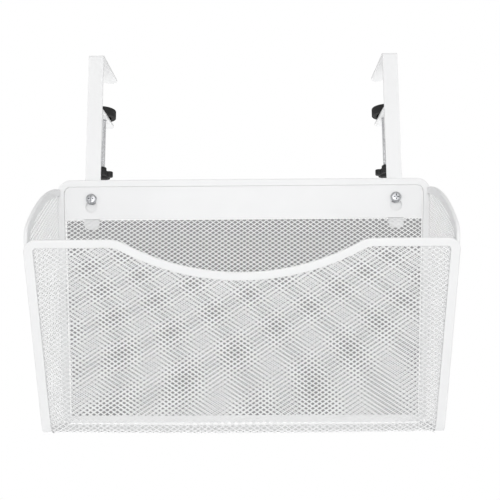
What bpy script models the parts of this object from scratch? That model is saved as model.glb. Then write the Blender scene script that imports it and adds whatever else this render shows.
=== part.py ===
"""Hanging file rack: a mesh pocket that hooks over the edge of a desk and clamps to it.

Frame: metres, +Z up, -Y towards the user, +X to the user's right.  The origin is the desk's
upper front corner, midway between the two hangers: the desk top lies behind y = 0 and below
z = 0, against the straps' rear faces and the hooks' undersides.

The pocket's own sizes are measured from its underside (height) and from the middle plane of
its back panel (depth); basket() turns them into the frame above.
"""

import math

import bmesh
import bpy
from mathutils import Vector

# ---- Pocket -----------------------------------------------------------------------------
BASE_Z = -0.3371  # underside of the pocket
BACK_Y = -0.0038  # middle plane of the back panel
BACK_HEIGHT = 0.2177
BACK_BASE = 0.0020  # lower edge of the back panel, just above the underside of the bottom
FRONT_HEIGHT = 0.1486
HALF_WIDTH_TOP = 0.1700  # at the top of the back panel
HALF_WIDTH_BASE = 0.1571
DEPTH_TOP = 0.0942  # outer face of the front panel, at its top edge
DEPTH_BASE = 0.0555  # the same at the underside, before the bend is rounded
BEND_RADIUS = 0.0080  # outside radius where the front turns into the bottom
DIP_DEPTH = 0.0255  # hand dip in the front panel's top edge
DIP_RADIUS = 0.1875
DIP_SHOULDER = 0.0250  # radius where the dip runs into the straight edge

# ---- Folded rim strips and mesh panels --------------------------------------------------
RIM_WIDTH = 0.0064
FRONT_SIDE_WIDTH = 0.0074  # the front rim's strips up its sides are wider
RIM_THICKNESS = 0.0030
RIM_WALL = 0.0009
MESH_THICKNESS = 0.0004
CLEARANCE = 0.0003  # between pieces that touch
BACK_CORNER = 0.0125  # outside radii of the rims' corners
BACK_LOWER_CORNER = 0.0080
FRONT_CORNER = 0.0095
MESH_INSET = RIM_WALL + CLEARANCE  # mesh edge, in from the rim's outer edge
SIDE_TOE = 0.0044  # how far the side mesh's lower front corner is cut back at the bend

# ---- Side panel's top edge (height over the underside, depth from the back panel) --------
SIDE_RIM_START = 0.1320
SIDE_FRONT_DEPTH = 0.0903
SIDE_CORNER_HEIGHT = 0.1573
SIDE_ARC_DEPTH = 0.0840
SIDE_ARC_HEIGHT = 0.1636
SIDE_BACK_HEIGHT = 0.2092
SIDE_ARC_RADIUS = 0.1580
SIDE_CORNER = 0.0180

# ---- Band plate with its two keyholes ---------------------------------------------------
BAND_BOTTOM = 0.1815
BAND_THICKNESS = 0.0006
BAND_SIDE_GAP = 0.0009
BAND_CORNER = 0.0070
MESH_TOP = BAND_BOTTOM - CLEARANCE
KEYHOLE_HEIGHT = 0.2000  # height of the band screws
KEYHOLE_DROP = 0.0070
KEYHOLE_RADIUS = 0.0053
SLOT_RADIUS = 0.00275

# ---- Hangers ----------------------------------------------------------------------------
HANGER_X = 0.13766
STRAP_WIDTH = 0.0138
STRAP_THICKNESS = 0.0020
STRAP_BEND = 0.0020  # middle radius of the fold
STRAP_FOOT = 0.1725  # lower end of the strap, over the pocket's underside
STRAP_END_CORNER = 0.0055
HOOK_REACH = 0.0632
ARM_TOP = -0.0499
ARM_REACH = 0.0534
ARM_LEG = 0.0300  # the arm's leg, down the rear of the strap

# ---- Clamp screw, knob and pressure pad -------------------------------------------------
SCREW_Y = 0.0280
ROD_RADIUS = 0.0039
ROD_HOLE = ROD_RADIUS + CLEARANCE
SPIGOT_RADIUS = 0.0029
NUT_ACROSS_FLATS = 0.0130
NUT_HEIGHT = 0.0035
WASHER_RADIUS = 0.0070
WASHER_THICKNESS = 0.0008
PAD_RADIUS = 0.0131
PAD_HEIGHT = 0.0080
PAD_BORE = 0.0085
PAD_WEB = 0.0018
PAD_EDGE = 0.0008
ROD_CHAMFER = 0.0005
KNOB_TOP = -0.0990
KNOB_COLLAR_HEIGHT = 0.0040
KNOB_COLLAR_RADIUS = 0.0053
LOBES = 6
LOBE_CENTRE = 0.0086
LOBE_RADIUS = 0.0030
LOBE_VALLEY = 0.0080
LOBE_THICKNESS = 0.0057
KNOB_TAIL = 0.0033
KNOB_TAIL_RADII = (0.0050, 0.0066, 0.0072)
KNOB_FLOOR = 0.0018  # plastic below the rod's end
KNOB_EDGE = 0.0006

# ---- Band screws ------------------------------------------------------------------------
HEAD_RADIUS = 0.0048
HEAD_HEIGHT = 0.0029
SHANK_RADIUS = 0.00245
RECESS_WIDTH = 0.0011
RECESS_LENGTH = 0.0052
RECESS_DEPTH = 0.0016
BAND_WASHER_RADIUS = 0.0050
BAND_WASHER_THICKNESS = 0.0009  # fills the space between the plate and the strap
BAND_NUT_ACROSS_FLATS = 0.0080
BAND_NUT_HEIGHT = 0.0037
SHANK_TAIL = 0.0009

SIDES = (("left", -1), ("right", 1))


# ---- Places -----------------------------------------------------------------------------
def basket(x, depth_y, height):
    """A point given from the back panel's middle plane and the pocket's underside."""
    return Vector((x, BACK_Y + depth_y, BASE_Z + height))


def half_width(height):
    """Outer half width of the pocket, which tapers towards its underside."""
    return HALF_WIDTH_BASE + (HALF_WIDTH_TOP - HALF_WIDTH_BASE) * height / BACK_HEIGHT


def heading(angle):
    return Vector((math.cos(angle), math.sin(angle)))


class OneBend:
    """A path in the YZ plane: straight on, one bend, then straight on again.

    Angles are from +Y towards +Z, and the bend turns clockwise.  The normal points to the
    inside of the bend.
    """

    def __init__(self, start, angle, run, radius, turn):
        self.start, self.angle, self.run = Vector(start), angle, run
        self.radius, self.turn = radius, turn
        self.bend_end = run + radius * turn

    def at(self, length):
        turned = min(max((length - self.run) / self.radius, 0.0), self.turn)
        point = self.start + heading(self.angle) * min(length, self.run)
        centre = point + heading(self.angle - math.pi / 2) * self.radius
        normal = heading(self.angle - turned - math.pi / 2)
        if length > self.run:
            point = centre - normal * self.radius
        if length > self.bend_end:
            point = point + heading(self.angle - self.turn) * (length - self.bend_end)
        return point, normal

    def lengths(self, steps):
        """Where the bend's facets meet."""
        return [self.run + self.radius * self.turn * i / steps for i in range(steps + 1)]


LEAN = math.atan2(DEPTH_TOP - DEPTH_BASE, FRONT_HEIGHT)


def front_sheet_path():
    """Bottom, bend and front as one path through the middle of the sheet, from the back."""
    half = RIM_THICKNESS / 2
    start = -(half + CLEARANCE)
    turn = math.pi / 2 - LEAN
    radius = BEND_RADIUS - half
    corner = -DEPTH_BASE + half * math.tan(turn / 2)
    run = start - corner - radius * math.tan(turn / 2)
    return OneBend((start, half), math.pi, run, radius, turn)


SHEET = front_sheet_path()
SHEET_TOP = SHEET.bend_end + (FRONT_HEIGHT - SHEET.at(SHEET.bend_end)[0].y) / math.cos(LEAN)


# ---- Surfaces: each takes a point of a flat drawing and a distance off the surface ------
def back_surface(point, off):
    return basket(point.x, off, point.y)


def front_surface(point, off):
    place, normal = SHEET.at(point.y)
    place = place + normal * off
    return basket(point.x, place.x, place.y)


def side_surface(sign):
    def surface(point, off):
        x = half_width(point.y) - RIM_THICKNESS / 2 + off
        return basket(sign * x, point.x, point.y)

    return surface


def strip_surface(x, path):
    """A bent strip whose middle line follows path, in the frame's own Y and Z."""

    def surface(point, off):
        place, normal = path.at(point.y)
        place = place + normal * off
        return Vector((x + point.x, place.x, place.y))

    return surface


# ---- Outlines ---------------------------------------------------------------------------
def arc(centre, radius, first, last, steps):
    angles = [first + (last - first) * i / steps for i in range(steps + 1)]
    return [Vector(centre) + heading(a) * radius for a in angles]


def rounded(corners, closed=True, steps=6):
    """A polyline through (x, y, radius) corners, each rounded with its own radius."""
    points, count = [], len(corners)
    for i, (x, y, radius) in enumerate(corners):
        here = Vector((x, y))
        if radius == 0 or (not closed and i in (0, count - 1)):
            points.append(here)
            continue
        before = (Vector(corners[i - 1][:2]) - here).normalized()
        after = (Vector(corners[(i + 1) % count][:2]) - here).normalized()
        half = before.angle(after) / 2
        centre = here + (before + after).normalized() * radius / math.sin(half)
        first = here + before * radius / math.tan(half) - centre
        last = here + after * radius / math.tan(half) - centre
        sweep = first.angle_signed(last)
        start = math.atan2(first.y, first.x)
        points += arc(centre, radius, start, start - sweep, steps)
    return points


def mitres(path, closed):
    """For each point, the vector that moves it one unit to the right of the path."""
    found, count = [], len(path)
    for i, point in enumerate(path):
        before = path[i - 1] if closed or i else None
        after = path[(i + 1) % count] if closed or i < count - 1 else None
        steps = []
        if before is not None:
            steps.append((point - before).normalized())
        if after is not None:
            steps.append((after - point).normalized())
        sides = [Vector((s.y, -s.x)) for s in steps]
        mean = (sides[0] + sides[-1]).normalized()
        found.append(mean / mean.dot(sides[0]))
    return found


def inset(path, distance, closed=False):
    return [p + m * distance for p, m in zip(path, mitres(path, closed))]


def back_outline():
    """Outer edge of the back rim, clockwise as seen from the front."""
    low, high = half_width(BACK_BASE), half_width(BACK_HEIGHT)
    return rounded(
        [
            (-low, BACK_BASE, BACK_LOWER_CORNER),
            (-high, BACK_HEIGHT, BACK_CORNER),
            (high, BACK_HEIGHT, BACK_CORNER),
            (low, BACK_BASE, BACK_LOWER_CORNER),
        ]
    )


def front_edge(length):
    """Outer half width of the front sheet at a length along its path."""
    return half_width(SHEET.at(length)[0].y)


def front_top_edge():
    """The front panel's top edge from left to right, with its dip."""
    reach = math.sqrt(DIP_DEPTH * (2 * (DIP_RADIUS + DIP_SHOULDER) - DIP_DEPTH))
    swing = math.asin(reach / (DIP_RADIUS + DIP_SHOULDER))
    down, up = -math.pi / 2, math.pi / 2
    shoulder = SHEET_TOP - DIP_SHOULDER
    centre = (0.0, SHEET_TOP - DIP_DEPTH + DIP_RADIUS)
    falling = arc((-reach, shoulder), DIP_SHOULDER, up, up - swing, 5)
    bowl = arc(centre, DIP_RADIUS, down - swing, down + swing, 20)
    rising = arc((reach, shoulder), DIP_SHOULDER, up + swing, up, 5)
    return falling + bowl[1:-1] + rising


def front_outline():
    """Outer edge of the front sheet: up its left side, over the top and down the right."""
    side = [Vector((-front_edge(v), v)) for v in [0.0] + SHEET.lengths(8)]
    width = front_edge(SHEET_TOP)
    top = rounded(
        [(*side[-1], 0), (-width, SHEET_TOP, FRONT_CORNER), (0.0, SHEET_TOP, 0)], closed=False
    )[1:-1]
    left = side + top
    right = [Vector((-p.x, p.y)) for p in reversed(left)]
    return left + front_top_edge() + right


def side_outline():
    """Outer edge of a side panel in depth and height: up its front, then back over its top."""
    slope = (RIM_THICKNESS + CLEARANCE) / math.cos(LEAN) - DEPTH_BASE

    def front(height):
        return slope - math.tan(LEAN) * height

    bend = BEND_RADIUS
    turn_height = (SIDE_FRONT_DEPTH + slope) / math.tan(LEAN)
    first = Vector((-SIDE_ARC_DEPTH, SIDE_ARC_HEIGHT))
    last = Vector((-RIM_THICKNESS / 2 - CLEARANCE, SIDE_BACK_HEIGHT))
    chord = last - first
    half = math.asin(chord.length / 2 / SIDE_ARC_RADIUS)
    middle = (first + last) / 2 + Vector((chord.y, -chord.x)).normalized() * (
        SIDE_ARC_RADIUS * math.cos(half)
    )
    start = math.atan2(first.y - middle.y, first.x - middle.x)
    top = arc(middle, SIDE_ARC_RADIUS, start, start - 2 * half, 12)
    lower = rounded(
        [
            (front(bend), bend, 0),
            (front(SIDE_RIM_START), SIDE_RIM_START, 0),
            (-SIDE_FRONT_DEPTH, turn_height, 0),
            (-SIDE_FRONT_DEPTH, SIDE_CORNER_HEIGHT, SIDE_CORNER),
            (*top[0], 0),
        ],
        closed=False,
    )
    return lower + top[1:]


# ---- Materials --------------------------------------------------------------------------
FINISHES = {
    "white_paint": ((0.87, 0.88, 0.88), 0.42, 0.0),
    "zinc_steel": ((0.66, 0.66, 0.67), 0.28, 1.0),
    "black_plastic": ((0.022, 0.022, 0.024), 0.48, 0.0),
    "black_rubber": ((0.030, 0.030, 0.032), 0.75, 0.0),
}


def material(name, finish):
    """Each sub-part has its own material, made from one of the four finishes."""
    colour, roughness, metallic = FINISHES[finish]
    made = bpy.data.materials.new(name + "_" + finish)
    made.use_nodes = True
    shader = made.node_tree.nodes["Principled BSDF"]
    shader.inputs["Base Color"].default_value = (*colour, 1.0)
    shader.inputs["Roughness"].default_value = roughness
    shader.inputs["Metallic"].default_value = metallic
    return made


# ---- Solids -----------------------------------------------------------------------------
def finish_object(name, build, finish, smooth_angle=None):
    """Make an object from a bmesh, with its faces pointing out."""
    bmesh.ops.recalc_face_normals(build, faces=build.faces[:])
    mesh = bpy.data.meshes.new(name)
    build.to_mesh(mesh)
    build.free()
    if smooth_angle is not None:
        mesh.shade_smooth()
        mesh.set_sharp_from_angle(angle=math.radians(smooth_angle))
    made = bpy.data.objects.new(name, mesh)
    made.data.materials.append(material(name, finish))
    bpy.context.scene.collection.objects.link(made)
    return made


def loft(build, rings, cyclic):
    """Skin a list of closed rings.  A cyclic loft joins its last ring to its first."""
    loops = [[build.verts.new(p) for p in ring] for ring in rings]
    count = len(loops[0])
    pairs = list(zip(loops, loops[1:]))
    if cyclic:
        pairs.append((loops[-1], loops[0]))
    for near, far in pairs:
        for i in range(count):
            j = (i + 1) % count
            build.faces.new((near[i], near[j], far[j], far[i]))
    if not cyclic:
        build.faces.new(loops[0])
        build.faces.new(loops[-1])


def rim(name, path, surface, width=lambda point: RIM_WIDTH, closed=False, upright_end=False):
    """A strip folded over a panel's edge: a U section, open to the right of the path.
    An upright end is cut off along the drawing's second axis."""
    half, wall, edge = RIM_THICKNESS / 2, RIM_WALL, math.inf
    section = [
        (0.0, -half),
        (edge, -half),
        (edge, -half + wall),
        (wall, -half + wall),
        (wall, half - wall),
        (edge, half - wall),
        (edge, half),
        (0.0, half),
    ]
    build = bmesh.new()
    sides = mitres(path, closed)
    if upright_end:
        sides[-1] = Vector((0.0, 1.0 / sides[-1].y))
    rings = [
        [surface(p + m * min(s, width(p)), t) for s, t in section] for p, m in zip(path, sides)
    ]
    loft(build, rings, closed)
    return finish_object(name, build, "white_paint", 30)


def front_rim_width(point):
    """Wider up the sides, narrowing round the top corners."""
    inboard = (front_edge(point.y) - abs(point.x)) / FRONT_CORNER
    return RIM_WIDTH + (FRONT_SIDE_WIDTH - RIM_WIDTH) * min(max(1.0 - inboard, 0.0), 1.0)


def sheet(name, loop, surface, thickness, rungs=1, middle=0.0):
    """A panel with the outline loop.  Its first and last `rungs` points face each other
    across the sheet, so that it can bend along the lines between them."""
    build = bmesh.new()
    for off in (-thickness / 2, thickness / 2):
        verts = [build.verts.new(surface(p, middle + off)) for p in loop]
        for i in range(rungs - 1):
            build.faces.new((verts[i], verts[i + 1], verts[-2 - i], verts[-1 - i]))
        if len(loop) > 2 * rungs:
            build.faces.new(verts[rungs - 1 : len(loop) - rungs + 1])
    build.verts.ensure_lookup_table()
    count = len(loop)
    for i in range(count):
        j = (i + 1) % count
        build.faces.new([build.verts[k] for k in (i, j, count + j, count + i)])
    return finish_object(name, build, "white_paint", 30)


def strip(name, x, path, lengths, width, corners, thickness):
    """A bent flat strip.  corners gives the rounding of its (first, last) end."""
    total = lengths[-1]
    rounding = [0.0, 0.08, 0.3, 0.6, 1.0]
    first = [corners[0] * k for k in rounding] if corners[0] else [0.0]
    last = [total - corners[1] * k for k in reversed(rounding)] if corners[1] else [total]
    stations = first + list(lengths[:-1]) + last

    def half(length):
        for radius, away in ((corners[0], length), (corners[1], total - length)):
            if away < radius:
                return width / 2 - radius + math.sqrt(radius**2 - (radius - away) ** 2)
        return width / 2

    left = [Vector((-half(v), v)) for v in stations]
    right = [Vector((-p.x, p.y)) for p in reversed(left)]
    return sheet(name, left + right, strip_surface(x, path), thickness, rungs=len(left))


def turned(name, profile, place, finish, through=False, count=32, along_y=False, smooth=35):
    """A round piece from (radius, height) pairs.  A radius may be a function of the angle.
    A through piece is a closed section with a bore; along_y lays its height along -Y."""
    build = bmesh.new()
    angles = [2 * math.pi * i / count for i in range(count)]
    rings = []
    for radius, height in profile:
        size = radius if callable(radius) else lambda angle, r=radius: r
        flat = [heading(a) * size(a) for a in angles]
        rings.append([Vector((p.x, p.y, height)) for p in flat])
    loft(build, rings, through)
    made = finish_object(name, build, finish, smooth)
    made.location = place
    if along_y:
        made.rotation_euler = (math.pi / 2, 0.0, 0.0)
    return made


def hexagon(across_flats):
    def radius(angle):
        return across_flats / 2 / math.cos((angle + math.pi / 6) % (math.pi / 3) - math.pi / 6)

    return radius


def star(shrink=0.0):
    """Outline of the knob: round lobes on a round body, drawn in by shrink."""
    pitch = 2 * math.pi / LOBES
    lobe = LOBE_RADIUS - shrink

    def radius(angle):
        away = (angle + pitch / 2) % pitch - pitch / 2
        across = LOBE_CENTRE * math.sin(away)
        reach = 0.0
        if abs(across) < lobe:
            reach = LOBE_CENTRE * math.cos(away) + math.sqrt(lobe**2 - across**2)
        return max(LOBE_VALLEY - shrink, reach)

    return radius


def cut(target, cutters):
    """Take each cutter out of target; cutters aren't part of the object."""
    for cutter in cutters:
        cutter.hide_render = True
        cutter.display_type = "WIRE"
        step = target.modifiers.new("hole", "BOOLEAN")
        step.operation = "DIFFERENCE"
        step.solver = "EXACT"
        step.object = cutter


def drill(name, radius, place, depth, along_y=False):
    """A round cutter, centred on place."""
    profile = [(radius, -depth / 2), (radius, depth / 2)]
    return turned(name, profile, place, "zinc_steel", count=24, along_y=along_y)


# ---- The pocket -------------------------------------------------------------------------
def make_pocket():
    back = back_outline()
    rim("back_rim", back, back_surface, closed=True)

    inner = [p for p in inset(back, MESH_INSET, closed=True) if p.y < MESH_TOP]
    turn = max(range(len(inner)), key=lambda i: inner[i].x - inner[i - 1].x)
    inner = inner[turn:] + inner[:turn]
    width = half_width(MESH_TOP) - MESH_INSET
    loop = inner + [Vector((-width, MESH_TOP)), Vector((width, MESH_TOP))]
    sheet("back_mesh", loop, back_surface, MESH_THICKNESS)

    front = front_outline()
    rim("front_rim", front, front_surface, front_rim_width)
    inner = inset(front, MESH_INSET)
    inner[0].y = inner[-1].y = 0.0
    rungs = 1 + len(SHEET.lengths(8))
    sheet("front_mesh", inner, front_surface, MESH_THICKNESS, rungs)

    side = side_outline()
    panel = inset(side, MESH_INSET)
    floor = RIM_THICKNESS + CLEARANCE
    rear = -RIM_THICKNESS / 2 - CLEARANCE
    panel[-1].x = rear
    bend_in = Vector((panel[0].x + SIDE_TOE, floor))
    for side_name, sign in SIDES:
        surface = side_surface(sign)
        rim(side_name + "_side_rim", side[1:], surface, upright_end=True)
        loop = [bend_in, *panel, Vector((rear, floor))]
        sheet(side_name + "_side_mesh", loop, surface, MESH_THICKNESS)


def make_band_plate():
    """Its top edge lies inside the fold of the back rim."""
    reach = RIM_WIDTH + BAND_SIDE_GAP
    top = BACK_HEIGHT - RIM_WALL - CLEARANCE
    low, high = half_width(BAND_BOTTOM) - reach, half_width(top) - reach
    loop = rounded(
        [
            (-low, BAND_BOTTOM, 0),
            (-high, top, BAND_CORNER),
            (high, top, BAND_CORNER),
            (low, BAND_BOTTOM, 0),
        ]
    )
    plate = sheet("band_plate", loop, back_surface, BAND_THICKNESS)
    depth = 4 * BAND_THICKNESS
    slot_top = KEYHOLE_HEIGHT + SLOT_RADIUS
    slot_round = SLOT_RADIUS * 0.999  # just short of a half circle, so that its two arcs don't meet
    cutters = []
    for side_name, sign in SIDES:
        x = sign * HANGER_X
        place = basket(x, 0.0, KEYHOLE_HEIGHT - KEYHOLE_DROP)
        cutters.append(drill(side_name + "_keyhole", KEYHOLE_RADIUS, place, depth, True))
        slot = rounded(
            [
                (x - SLOT_RADIUS, slot_top, slot_round),
                (x + SLOT_RADIUS, slot_top, slot_round),
                (x + SLOT_RADIUS, KEYHOLE_HEIGHT - KEYHOLE_DROP, 0),
                (x - SLOT_RADIUS, KEYHOLE_HEIGHT - KEYHOLE_DROP, 0),
            ]
        )
        cutters.append(sheet(side_name + "_slot", slot, back_surface, depth))
    cut(plate, cutters)


# ---- The hangers ------------------------------------------------------------------------
def make_hanger(side_name, sign):
    x = sign * HANGER_X
    half = STRAP_THICKNESS / 2
    quarter = math.pi / 2

    foot = BASE_Z + STRAP_FOOT
    path = OneBend((-half, foot), quarter, half - STRAP_BEND - foot, STRAP_BEND, quarter)
    total = path.bend_end + HOOK_REACH + half - STRAP_BEND
    corners = (STRAP_END_CORNER, STRAP_END_CORNER)
    lengths = path.lengths(5) + [total]
    strap = strip(
        side_name + "_hanger_strap", x, path, lengths, STRAP_WIDTH, corners, STRAP_THICKNESS
    )
    place = Vector((x, -half, BASE_Z + KEYHOLE_HEIGHT))
    hole = drill(side_name + "_strap_hole", SLOT_RADIUS, place, 4 * STRAP_THICKNESS, True)
    cut(strap, [hole])

    leg_y = CLEARANCE + half
    leg_z = ARM_TOP - ARM_LEG
    run = ARM_TOP - half - STRAP_BEND - leg_z
    path = OneBend((leg_y, leg_z), quarter, run, STRAP_BEND, quarter)
    total = path.bend_end + ARM_REACH - leg_y - STRAP_BEND
    lengths = path.lengths(5) + [total]
    corners = (0.0, STRAP_END_CORNER)
    arm = strip(
        side_name + "_clamp_arm", x, path, lengths, STRAP_WIDTH, corners, STRAP_THICKNESS
    )
    place = Vector((x, SCREW_Y, ARM_TOP))
    cut(arm, [drill(side_name + "_arm_hole", ROD_HOLE, place, 4 * STRAP_THICKNESS)])


def make_clamp(side_name, sign):
    """Nut on the arm, screw with its knob, and the pad that the screw pushes up."""
    arm = Vector((sign * HANGER_X, SCREW_Y, ARM_TOP))
    nut = hexagon(NUT_ACROSS_FLATS)
    nut_top = CLEARANCE + NUT_HEIGHT
    profile = [(nut, CLEARANCE), (nut, nut_top), (ROD_HOLE, nut_top), (ROD_HOLE, CLEARANCE)]
    turned(side_name + "_clamp_nut", profile, arm, "zinc_steel", through=True, count=24)

    pad_top = CLEARANCE + PAD_HEIGHT
    web = pad_top - PAD_WEB
    socket = SPIGOT_RADIUS + CLEARANCE
    socket_top = pad_top - PAD_WEB / 2
    profile = [
        (socket, socket_top),
        (socket, web),
        (PAD_BORE, web),
        (PAD_BORE, CLEARANCE),
        (PAD_RADIUS, CLEARANCE),
        (PAD_RADIUS, pad_top - PAD_EDGE),
        (PAD_RADIUS - PAD_EDGE * 0.3, pad_top - PAD_EDGE * 0.3),
        (PAD_RADIUS - PAD_EDGE, pad_top),
    ]
    turned(side_name + "_clamp_pad", profile, arm, "black_rubber")

    washer_top = web - CLEARANCE
    washer_base = washer_top - WASHER_THICKNESS
    profile = [
        (socket, washer_base),
        (WASHER_RADIUS, washer_base),
        (WASHER_RADIUS, washer_top),
        (socket, washer_top),
    ]
    turned(side_name + "_thrust_washer", profile, arm, "zinc_steel", through=True)

    shoulder = washer_base - CLEARANCE
    tip = socket_top - CLEARANCE
    knob_base = KNOB_TOP - KNOB_COLLAR_HEIGHT - LOBE_THICKNESS - KNOB_TAIL
    socket_floor = knob_base + KNOB_FLOOR - ARM_TOP
    chamfer = ROD_CHAMFER
    profile = [
        (ROD_RADIUS - chamfer, socket_floor + CLEARANCE),
        (ROD_RADIUS, socket_floor + CLEARANCE + chamfer),
        (ROD_RADIUS, shoulder - chamfer),
        (ROD_RADIUS - chamfer, shoulder),
        (SPIGOT_RADIUS, shoulder),
        (SPIGOT_RADIUS, tip - chamfer),
        (SPIGOT_RADIUS - chamfer, tip),
    ]
    turned(side_name + "_clamp_screw", profile, arm, "zinc_steel", count=24)

    lobe_top = -KNOB_COLLAR_HEIGHT
    lobe_base = lobe_top - LOBE_THICKNESS
    tail = lobe_base - KNOB_TAIL
    edge = KNOB_EDGE
    profile = [
        (KNOB_TAIL_RADII[0], tail),
        (KNOB_TAIL_RADII[1], tail + KNOB_TAIL * 0.35),
        (KNOB_TAIL_RADII[2], lobe_base),
        (star(edge), lobe_base),
        (star(), lobe_base + edge),
        (star(), lobe_top - edge),
        (star(edge), lobe_top),
        (KNOB_COLLAR_RADIUS, lobe_top + edge),
        (KNOB_COLLAR_RADIUS, -edge),
        (KNOB_COLLAR_RADIUS - edge, 0.0),
        (ROD_HOLE, 0.0),
        (ROD_HOLE, socket_floor + ARM_TOP - KNOB_TOP),
    ]
    place = Vector((arm.x, arm.y, KNOB_TOP))
    turned(side_name + "_clamp_knob", profile, place, "black_plastic", count=72)


def make_band_fixing(side_name, sign):
    """Screw through the keyhole and the strap, with a washer between plate and strap and a
    nut behind the strap."""
    x = sign * HANGER_X
    face = -BAND_THICKNESS / 2 - CLEARANCE
    seat = basket(x, face, KEYHOLE_HEIGHT)
    washer = -STRAP_THICKNESS - CLEARANCE - BAND_WASHER_THICKNESS, -STRAP_THICKNESS - CLEARANCE
    nut = CLEARANCE, CLEARANCE + BAND_NUT_HEIGHT
    end = nut[1] + SHANK_TAIL - seat.y
    profile = [
        (SHANK_RADIUS * 0.8, -end),
        (SHANK_RADIUS, -end + SHANK_RADIUS * 0.2),
        (SHANK_RADIUS, 0.0),
        (HEAD_RADIUS, 0.0),
        (HEAD_RADIUS, HEAD_HEIGHT * 0.35),
        (HEAD_RADIUS * 0.94, HEAD_HEIGHT * 0.65),
        (HEAD_RADIUS * 0.78, HEAD_HEIGHT * 0.88),
        (HEAD_RADIUS * 0.50, HEAD_HEIGHT),
    ]
    name = side_name + "_band_screw"
    screw = turned(name, profile, seat, "zinc_steel", count=24, along_y=True)
    recess = []
    for turn in range(2):
        width, length = (RECESS_WIDTH, RECESS_LENGTH)[:: 1 - 2 * turn]
        bar = [
            Vector((x + a * width / 2, KEYHOLE_HEIGHT + b * length / 2))
            for a, b in ((-1, -1), (-1, 1), (1, 1), (1, -1))
        ]
        front = face - HEAD_HEIGHT
        cutter = sheet(f"{name}_slot{turn}", bar, back_surface, 2 * RECESS_DEPTH, middle=front)
        recess.append(cutter)
    cut(screw, recess)

    rear = Vector((x, 0.0, BASE_Z + KEYHOLE_HEIGHT))
    for piece, size, (near, far) in (
        ("washer", BAND_WASHER_RADIUS, washer),
        ("nut", hexagon(BAND_NUT_ACROSS_FLATS), nut),
    ):
        profile = [(size, -near), (size, -far), (SLOT_RADIUS, -far), (SLOT_RADIUS, -near)]
        name = f"{side_name}_band_{piece}"
        turned(name, profile, rear, "zinc_steel", through=True, count=24, along_y=True)


def clear_scene():
    for item in list(bpy.data.objects):
        bpy.data.objects.remove(item, do_unlink=True)


clear_scene()
make_pocket()
make_band_plate()
for hanger_side, hanger_sign in SIDES:
    make_hanger(hanger_side, hanger_sign)
    make_clamp(hanger_side, hanger_sign)
    make_band_fixing(hanger_side, hanger_sign)
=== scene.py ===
"""Looks of the hanging file rack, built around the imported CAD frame.

Metres, +Z up, -Y towards the user.  The origin is the desk's upper front corner between the
two hangers.  Every visible piece is rebuilt here with the detail the solids leave out: open
expanded metal, rolled rims, rounded sheet edges, threads and moulded parts.
"""

import math

import bmesh
import bpy
import numpy as np
from mathutils import Matrix, Vector


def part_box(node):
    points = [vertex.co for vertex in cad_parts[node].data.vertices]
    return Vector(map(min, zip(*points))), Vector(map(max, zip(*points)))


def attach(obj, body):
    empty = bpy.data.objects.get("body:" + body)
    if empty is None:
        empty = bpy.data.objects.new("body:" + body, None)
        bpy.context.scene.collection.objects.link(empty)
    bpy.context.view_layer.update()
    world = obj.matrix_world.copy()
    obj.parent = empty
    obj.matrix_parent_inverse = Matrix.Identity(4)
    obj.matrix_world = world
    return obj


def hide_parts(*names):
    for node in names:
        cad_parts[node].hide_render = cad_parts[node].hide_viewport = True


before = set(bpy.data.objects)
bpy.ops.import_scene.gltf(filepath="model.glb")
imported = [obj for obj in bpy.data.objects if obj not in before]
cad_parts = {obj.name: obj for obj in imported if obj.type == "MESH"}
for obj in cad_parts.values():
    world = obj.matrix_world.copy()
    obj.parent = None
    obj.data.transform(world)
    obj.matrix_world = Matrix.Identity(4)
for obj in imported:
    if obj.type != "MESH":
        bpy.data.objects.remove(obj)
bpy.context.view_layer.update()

SIDES = (("left", -1), ("right", 1))
GAP = 0.0003

# ---- Sizes that the CAD's own boxes give ------------------------------------------------
RIM_LOW, RIM_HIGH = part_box("back_rim")
BASE_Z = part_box("front_rim")[0].z
BACK_Y = (RIM_LOW.y + RIM_HIGH.y) / 2
HALF_RIM = (RIM_HIGH.y - RIM_LOW.y) / 2
BACK_HEIGHT = RIM_HIGH.z - BASE_Z
BACK_BASE = RIM_LOW.z - BASE_Z
BAND_LOW, BAND_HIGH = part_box("band_plate")
STRAP_LOW, STRAP_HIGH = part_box("right_hanger_strap")
ARM_LOW, ARM_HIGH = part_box("right_clamp_arm")
PAD_LOW, PAD_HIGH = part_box("right_clamp_pad")
ROD_LOW, ROD_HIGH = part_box("right_clamp_screw")
KNOB_LOW, KNOB_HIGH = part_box("right_clamp_knob")
HANGER_X = (STRAP_LOW.x + STRAP_HIGH.x) / 2
STRAP_WIDTH = STRAP_HIGH.x - STRAP_LOW.x
STRAP_THICKNESS = STRAP_HIGH.z
SCREW_Y = (PAD_LOW.y + PAD_HIGH.y) / 2
BAND_SCREW_LOW, BAND_SCREW_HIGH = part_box("right_band_screw")
SCREW_Z = (BAND_SCREW_LOW.z + BAND_SCREW_HIGH.z) / 2

# ---- Shape of the pocket, as in the CAD -------------------------------------------------
HALF_WIDTH_TOP = 0.1700  # at TAPER_HEIGHT
HALF_WIDTH_BASE = 0.1571
TAPER_HEIGHT = 0.2177
FRONT_HEIGHT = 0.1486
DEPTH_TOP = 0.0942
DEPTH_BASE = 0.0555
BEND_RADIUS = 0.0080
DIP_DEPTH = 0.0255
DIP_RADIUS = 0.1875
DIP_SHOULDER = 0.0250
RIM_WIDTH = 0.0064
FRONT_SIDE_WIDTH = 0.0074
RIM_WALL = 0.0009
BACK_CORNER = 0.0125
BACK_LOWER_CORNER = 0.0080
FRONT_CORNER = 0.0095
SIDE_RIM_START = 0.1320
SIDE_FRONT_DEPTH = 0.0903
SIDE_CORNER_HEIGHT = 0.1573
SIDE_ARC_DEPTH = 0.0840
SIDE_ARC_HEIGHT = 0.1636
SIDE_BACK_HEIGHT = 0.2092
SIDE_ARC_RADIUS = 0.1580
SIDE_CORNER = 0.0180
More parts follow.
